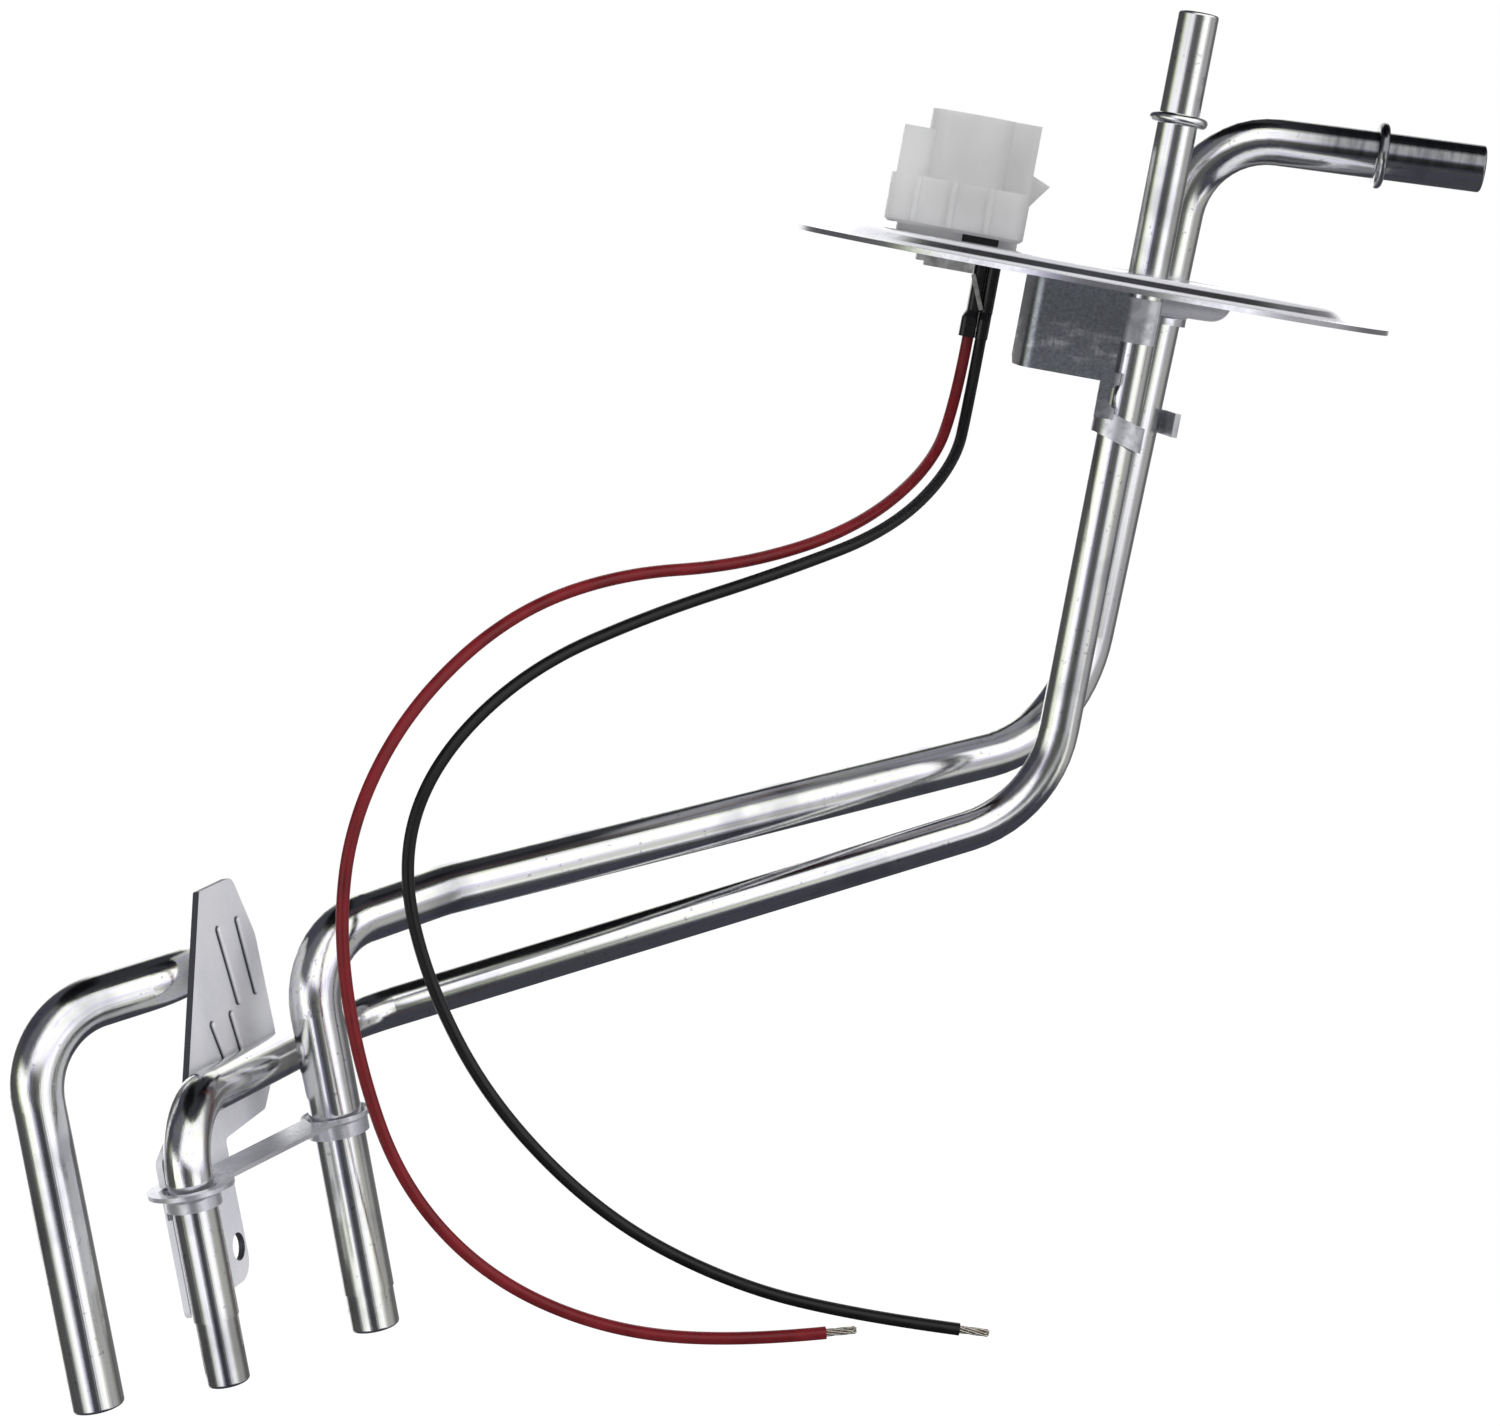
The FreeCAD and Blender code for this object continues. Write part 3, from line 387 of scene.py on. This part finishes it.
def bracketSheet(m):
    # Folded zinc plated sheet: dark slate with a fine speckle and rubbed marks, and painted highlight on the
    # hook and the band
    material, tree, shader = newMaterial("foldedZincPlatedBracket", {"Metallic": 1.0})
    coords = addNode(tree, "TexCoord")
    spot = coords.outputs["Object"]
    axes = addNode(tree, "SeparateXYZ", links={0: spot})
    speckles = addNode(tree, "TexNoise",
                       {"Scale": perMetre(m["speckleMm"]), "Detail": 5, "Roughness": 0.75}, {0: spot})
    base = setRamp(addNode(tree, "ValToRGB", links={0: speckles.outputs[0]}),
                   zip(m["speckle"], (m["plate"], m["pale"])))
    rub = []
    for name in ("stroke", "row"):
        stretch = addNode(tree, "Mapping", {"Scale": perMetre(m[name + "Mm"])}, {0: spot})
        noise = addNode(tree, "TexNoise", {"Scale": 1.0, "Detail": 2}, {0: stretch.outputs[0]})
        rub.append(addNode(tree, "MapRange", span(m[name]), {0: noise.outputs[0]}).outputs[0])
    for name in ("rowTop", "rowFoot"):
        rub.append(addNode(tree, "MapRange", span(m[name]), {0: axes.outputs["Z"]}).outputs[0])
    mark = rub[0]
    for part in rub[1:]:
        mark = addNode(tree, "Math", {"operation": "MULTIPLY"}, {0: mark, 1: part}).outputs[0]
    sheet = addNode(tree, "Mix", {"data_type": "RGBA", 7: srgb(m["rub"])}, {0: mark, 6: base.outputs[0]})
    # The hook and the band get painted highlight: pale and matt, with greyer stains
    patches = addNode(tree, "TexNoise", {"Scale": perMetre(m["stainMm"]), "Detail": 4, "Roughness": 0.6},
                      {0: spot})
    stainedHighlight = setRamp(addNode(tree, "ValToRGB", links={0: patches.outputs[0]}),
                     zip(m["stains"], (m["stain"], m["edgeHighlight"])))
    hook = addNode(tree, "MapRange", span(m["hook"]), {0: axes.outputs["X"]})
    band = addNode(tree, "MapRange", span(m["band"]), {0: axes.outputs["Z"]})
    highlightMask = addNode(tree, "Math", {"operation": "MAXIMUM"}, {0: hook.outputs[0], 1: band.outputs[0]})
    colour = addNode(tree, "Mix", {"data_type": "RGBA"},
                     {0: highlightMask.outputs[0], 6: sheet.outputs[2], 7: stainedHighlight.outputs[0]})
    matt = addNode(tree, "Math", {"operation": "MAXIMUM"}, {0: mark, 1: hook.outputs[0]})
    metal = addNode(tree, "MapRange", span(m["metal"]), {0: matt.outputs[0]})
    smoother = addNode(tree, "Math", {"operation": "MAXIMUM"}, {0: mark, 1: highlightMask.outputs[0]})
    rough = addNode(tree, "MapRange", span(m["rough"]), {0: smoother.outputs[0]})
    bump = addNode(tree, "Bump", {"Strength": m["bump"], "Distance": m["bumpMm"] / 1000},
                   {"Height": speckles.outputs[0]})
    connect(shader, {"Base Color": colour.outputs[2], "Metallic": metal.outputs[0],
                     "Roughness": rough.outputs[0], "Normal": bump.outputs[0]})
    return material


housing = {
    "thick": "#F0F0F0", "thin": "#F9F9F9",
    "streakMm": (9.091, 9.091, 25),
    "streaks": (0.35, 0.65),
    "bump": 0.15,
    "bumpMm": 0.1,
    "settings": {"Roughness": 0.42, "IOR": 1.53, "Transmission Weight": 0.3, "Subsurface Weight": 0.7,
                 "Subsurface Radius": (1.0, 1.0, 1.0), "Subsurface Scale": 0.006},
}


def naturalNylon(m):
    # Moulded natural nylon: milky, soft edged, light passes into it
    material, tree, shader = newMaterial("mouldedNaturalNylon", m["settings"])
    coords = addNode(tree, "TexCoord")
    stretch = addNode(tree, "Mapping", {"Scale": perMetre(m["streakMm"])}, {0: coords.outputs["Object"]})
    streaks = addNode(tree, "TexNoise", {"Scale": 1.0, "Detail": 3}, {0: stretch.outputs[0]})
    colour = setRamp(addNode(tree, "ValToRGB", links={0: streaks.outputs[0]}),
                     zip(m["streaks"], (m["thick"], m["thin"])))
    bump = addNode(tree, "Bump", {"Strength": m["bump"], "Distance": m["bumpMm"] / 1000},
                   {"Height": streaks.outputs[0]})
    connect(shader, {"Base Color": colour.outputs[0], "Normal": bump.outputs[0]})
    return material


mottle = {"tones": (0.3, 0.7), "uneven": 0.2, "bump": 0.3}
coats = {
    "seal": {  # moulded nitrile rubber: matt and nearly black
        "name": "mouldedNitrileSeal", "light": "#33332F", "dark": "#1A1A18",
        "mottleMm": 1.5, "bumpMm": 0.05, "settings": {"Roughness": 0.6}},
    "retainer": {  # stamped spring steel: pale, half matt
        "name": "stampedSpringSteel", "light": "#E6E6E4", "dark": "#8E8D88",
        "mottleMm": 2.5, "bumpMm": 0.05, "settings": {"Metallic": 0.7, "Roughness": 0.4}},
    "spring": {  # bright spring steel: a light strip on the black sleeves
        "name": "brightSpringSteel", "light": "#E0DED8", "dark": "#A9A7A0",
        "mottleMm": 1.5, "bumpMm": 0.02, "settings": {"Metallic": 1.0, "Roughness": 0.45}},
    "contact": {  # tinned brass: a warm silver
        "name": "tinnedBrassContact", "light": "#CFC8B4", "dark": "#A49C85",
        "mottleMm": 1.5, "bumpMm": 0.02, "settings": {"Metallic": 1.0, "Roughness": 0.3}},
    "sleeve": {  # shrunk polyolefin sleeve: glossy black with soft dents
        "name": "shrunkBlackSleeve", "light": "#18181A", "dark": "#0B0B0D",
        "mottleMm": 2.5, "bumpMm": 0.25, "settings": {"Roughness": 0.3, "IOR": 1.5}},
    "redWire": {  # extruded insulation: deep red, half gloss
        "name": "extrudedRedInsulation", "light": "#80141D", "dark": "#640D14",
        "mottleMm": 6.0, "bumpMm": 0.05, "settings": {"Roughness": 0.4, "IOR": 1.4}},
    "blackWire": {  # extruded insulation: black, half gloss
        "name": "extrudedBlackInsulation", "light": "#121214", "dark": "#08080A",
        "mottleMm": 6.0, "bumpMm": 0.05, "settings": {"Roughness": 0.4, "IOR": 1.4}},
    "strand": {  # tinned copper: silver strands with a warm shade
        "name": "tinnedCopperStrand", "light": "#DAD4CA", "dark": "#A39A8C",
        "mottleMm": 0.8, "bumpMm": 0.02, "settings": {"Metallic": 1.0, "Roughness": 0.3}},
}


def plainCoat(m):
    # Plastic, rubber or small metal: a low mottle in colour, roughness and height
    m = {**mottle, **m}
    material, tree, shader = newMaterial(m["name"], m["settings"])
    coords = addNode(tree, "TexCoord")
    noise = addNode(tree, "TexNoise", {"Scale": perMetre(m["mottleMm"]), "Detail": 4},
                    {0: coords.outputs["Object"]})
    colour = setRamp(addNode(tree, "ValToRGB", links={0: noise.outputs[0]}),
                     zip(m["tones"], (m["dark"], m["light"])))
    low, high = (m["settings"]["Roughness"] * (1 + sign * m["uneven"]) for sign in (-1, 1))
    rough = addNode(tree, "MapRange", span((*m["tones"], low, high)), {0: noise.outputs[0]})
    bump = addNode(tree, "Bump", {"Strength": m["bump"], "Distance": m["bumpMm"] / 1000},
                   {"Height": noise.outputs[0]})
    connect(shader, {"Base Color": colour.outputs[0], "Roughness": rough.outputs[0],
                     "Normal": bump.outputs[0]})
    return material


coat = {name: plainCoat(values) for name, values in coats.items()}
tubeFinish = zincTube(drawnTube)
finishes = {
    "flange_plate": zincSheet(flange),
    "return_tube": tubeFinish,
    "supply_tube": tubeFinish,
    "side_leg_tube": tubeFinish,
    "sender_bracket": zincSheet(plate),
    "tie_strap": zincSheet(strap),
    "tube_bracket": bracketSheet(bracket),
    "connector_housing": naturalNylon(housing),
    "connector_seal": coat["seal"],
    "retainer_plate": coat["retainer"],
    "lock_spring": coat["spring"],
}
for side in ("power", "ground"):
    finishes[side + "_pin"] = coat["contact"]
    finishes[side + "_terminal"] = coat["contact"]
    finishes[side + "_boot"] = coat["sleeve"]
for name, finish in finishes.items():
    mesh = nodes[name].data
    mesh.materials.clear()
    mesh.materials.append(finish)
for name, piece in pieces.items():
    piece.data.materials.append(coat[name] if name in coat else coat["strand"])
print("finishes applied")


# Studio: pale floor, soft boxes at both sides, white background

floor = {
    "mm": -330,
    "reach": 0.45,
    "fibreMm": 8.333,
    "paper": [(0.3, "#F4F4F4"), (0.7, "#F8F8F8")],
    "glow": 1.1,  # the camera sees it nearly white, with the object's shadow faint in it
    "glowShare": 0.85,
}
lamps = {  # two soft boxes, in metres
    "aim": (-0.04, -0.05, -0.08),
    "boxes": [
        {"at": (-0.9, -0.7, 0.9), "size": 0.8, "power": 5.0},
        {"at": (1.0, -0.6, 0.5), "size": 0.6, "power": 4.0},
    ],
}
sky = {
    "diffuse": 0.62,  # what matt surfaces get from all round
    "boxes": 1.45,  # how bright a white box is in metal
    # Once round at eye level: front 0, left 0.25, back 0.5, right 0.75
    "level": [
        (0.00, 0.07), (0.035, 0.09), (0.055, "#8C8A9C"), (0.075, "#E6E5EE"), (0.09, 1.0), (0.17, 1.0),
        (0.20, "#E6ECD2"), (0.225, "#848A74"), (0.245, 0.07), (0.38, 0.06), (0.405, 0.09), (0.43, 0.9),
        (0.50, 1.0), (0.535, 0.9), (0.56, 0.14), (0.65, 0.09), (0.68, 0.18), (0.71, 0.3), (0.79, 0.32),
        (0.815, 0.55), (0.835, 1.0), (0.90, 1.0), (0.93, "#8E9484"), (0.95, 0.1), (1.00, 0.07)],
    "boxTint": [(0.16, "#A9A6BC"), (0.27, "#F2F0F8"), (0.34, 1.0)],  # by height
    "ceiling": [(0.77, 1.0), (0.795, "#D2D8C0"), (0.815, "#565C49"), (0.84, "#2C2D32")],
    "ceilingTilt": 0.22,
    "shade": "#3A3A44",
    "ground": "#3A3B42",
    "fades": {  # over what, and the range
        "lowTurn": ("height", -0.09, -0.49, 0.0, 0.09),  # lower down the dark front is narrower
        "boxRise": ("height", 0.14, 0.26),
        "boxFront": ("ahead", 0.3, 0.05),
        "boxLeft": ("share", 0.235, 0.20),
        "boxRight": ("share", 0.5, 0.6),
        "shadeFrom": ("share", 0.06, 0.11),  # the upper left is dark, on the outer side of the tubes' bends
        "shadeTo": ("share", 0.40, 0.37),
        "shadeRise": ("height", 0.02, 0.16, 0.0, 0.93),
        "groundFront": ("ahead", -0.3, -0.5, 0.34, 0.12),  # nearer to eye level at the front
        "groundLeft": ("across", 0.12, -0.1, 0.0, 0.38),  # much lower at the left
    },
    "groundEdge": (0.06, -0.06),
}


def makeFloor(f):
    data = bpy.data.meshes.new("floor")
    square = [(-1, -1), (1, -1), (1, 1), (-1, 1)]
    corners = [(x * f["reach"], y * f["reach"], f["mm"] / 1000) for x, y in square]
    data.from_pydata(corners, [], [(0, 1, 2, 3)])
    sheet = bpy.data.objects.new("floor", data)
    bpy.context.scene.collection.objects.link(sheet)
    # Seamless backdrop paper, matt and nearly white
    material, tree, shader = newMaterial("paleStudioFloor", {"Roughness": 0.9, "Specular IOR Level": 0.1})
    coords = addNode(tree, "TexCoord")
    fibre = addNode(tree, "TexNoise", {"Scale": perMetre(f["fibreMm"]), "Detail": 3},
                    {0: coords.outputs["Object"]})
    paper = setRamp(addNode(tree, "ValToRGB", links={0: fibre.outputs[0]}), f["paper"])
    connect(shader, {"Base Color": paper.outputs[0]})
    glow = addNode(tree, "Emission", {"Color": (1, 1, 1, 1), "Strength": f["glow"]})
    path = addNode(tree, "LightPath")
    seen = addNode(tree, "Math", {"operation": "MULTIPLY", 1: f["glowShare"]},
                   {0: path.outputs["Is Camera Ray"]})
    mixed = addNode(tree, "MixShader", links={0: seen.outputs[0], 1: shader.outputs[0], 2: glow.outputs[0]})
    tree.links.new(mixed.outputs[0], tree.nodes["Material Output"].inputs["Surface"])
    data.materials.append(material)
    sheet.visible_glossy = False  # metal sees the whole studio round it, drawn in makeSky


def makeSky(s):
    # Camera rays see white. Metal sees the studio: white backdrop and boxes, dark ceiling and ground
    world = bpy.data.worlds.new("studio")
    bpy.context.scene.world = world
    world.use_nodes = True
    tree = world.node_tree
    coords = addNode(tree, "TexCoord")
    axes = addNode(tree, "SeparateXYZ", links={0: coords.outputs["Generated"]})
    across, ahead, height = axes.outputs
    angle = addNode(tree, "Math", {"operation": "ARCTAN2"}, {0: across, 1: ahead})
    share = addNode(tree, "MapRange", {1: -math.pi, 2: math.pi}, {0: angle.outputs[0]}).outputs[0]
    over = {"across": across, "ahead": ahead, "height": height, "share": share}
    fade = {name: addNode(tree, "MapRange", span(run), {0: over[what]}).outputs[0]
            for name, (what, *run) in s["fades"].items()}

    turned = addNode(tree, "Math", {"operation": "ADD"}, {0: share, 1: fade["lowTurn"]})
    level = setRamp(addNode(tree, "ValToRGB", links={0: turned.outputs[0]}), s["level"])
    boxTint = setRamp(addNode(tree, "ValToRGB", links={0: height}), s["boxTint"])
    boxSide = addNode(tree, "Math", {"operation": "MAXIMUM"}, {0: fade["boxLeft"], 1: fade["boxRight"]})
    boxPart = addNode(tree, "Math", {"operation": "MULTIPLY"}, {0: fade["boxRise"], 1: fade["boxFront"]})
    boxShare = addNode(tree, "Math", {"operation": "MULTIPLY"},
                       {0: boxPart.outputs[0], 1: boxSide.outputs[0]})
    boxed = addNode(tree, "Mix", {"data_type": "RGBA"},
                    {0: boxShare.outputs[0], 6: level.outputs[0], 7: boxTint.outputs[0]})
    shadeWay = addNode(tree, "Math", {"operation": "MULTIPLY"}, {0: fade["shadeFrom"], 1: fade["shadeTo"]})
    shadeShare = addNode(tree, "Math", {"operation": "MULTIPLY"},
                         {0: shadeWay.outputs[0], 1: fade["shadeRise"]})
    shaded = addNode(tree, "Mix", {"data_type": "RGBA", 7: srgb(s["shade"])},
                     {0: shadeShare.outputs[0], 6: boxed.outputs[2]})
    tilted = addNode(tree, "Math", {"operation": "MULTIPLY_ADD", 1: s["ceilingTilt"]}, {0: ahead, 2: height})
    ceiling = setRamp(addNode(tree, "ValToRGB", links={0: tilted.outputs[0]}), s["ceiling"])
    lit = addNode(tree, "Mix", {"data_type": "RGBA", "blend_type": "MULTIPLY", 0: 1.0},
                  {6: shaded.outputs[2], 7: ceiling.outputs[0]})
    edge = addNode(tree, "Math", {"operation": "ADD"}, {0: fade["groundFront"], 1: fade["groundLeft"]})
    above = addNode(tree, "Math", {"operation": "ADD"}, {0: height, 1: edge.outputs[0]})
    groundShare = addNode(tree, "MapRange", span(s["groundEdge"]), {0: above.outputs[0]})
    glossy = addNode(tree, "Mix", {"data_type": "RGBA", 7: srgb(s["ground"])},
                     {0: groundShare.outputs[0], 6: lit.outputs[2]})

    bright = addNode(tree, "VectorMath", {"operation": "SCALE", "Scale": s["boxes"]},
                     {0: glossy.outputs[2]})
    path = addNode(tree, "LightPath")
    even = addNode(tree, "Mix", {"data_type": "RGBA", 6: [s["diffuse"]] * 3 + [1]},
                   {0: path.outputs["Is Glossy Ray"], 7: bright.outputs[0]})
    plain = addNode(tree, "Math", {"operation": "MAXIMUM"},
                    {0: path.outputs["Is Camera Ray"], 1: path.outputs["Is Transmission Ray"]})
    seen = addNode(tree, "Mix", {"data_type": "RGBA", 7: (1, 1, 1, 1)},
                   {0: plain.outputs[0], 6: even.outputs[2]})
    connect(tree.nodes["Background"], {"Color": seen.outputs[2]})


def makeLamps(w):
    for number, box in enumerate(w["boxes"]):
        data = bpy.data.lights.new("softBox" + str(number), "AREA")
        data.shape = "SQUARE"
        data.size = box["size"]
        data.energy = box["power"]
        thing = bpy.data.objects.new(data.name, data)
        bpy.context.scene.collection.objects.link(thing)
        at = Vector(box["at"])
        aim = Vector(w["aim"]) - at
        thing.visible_glossy = False  # the metal sees the boxes drawn in makeSky instead
        thing.matrix_world = Matrix.Translation(at) @ aim.to_track_quat("-Z", "Y").to_matrix().to_4x4()


makeFloor(floor)
makeSky(sky)
makeLamps(lamps)
bpy.context.scene.view_settings.view_transform = "Standard"
print("studio ready")
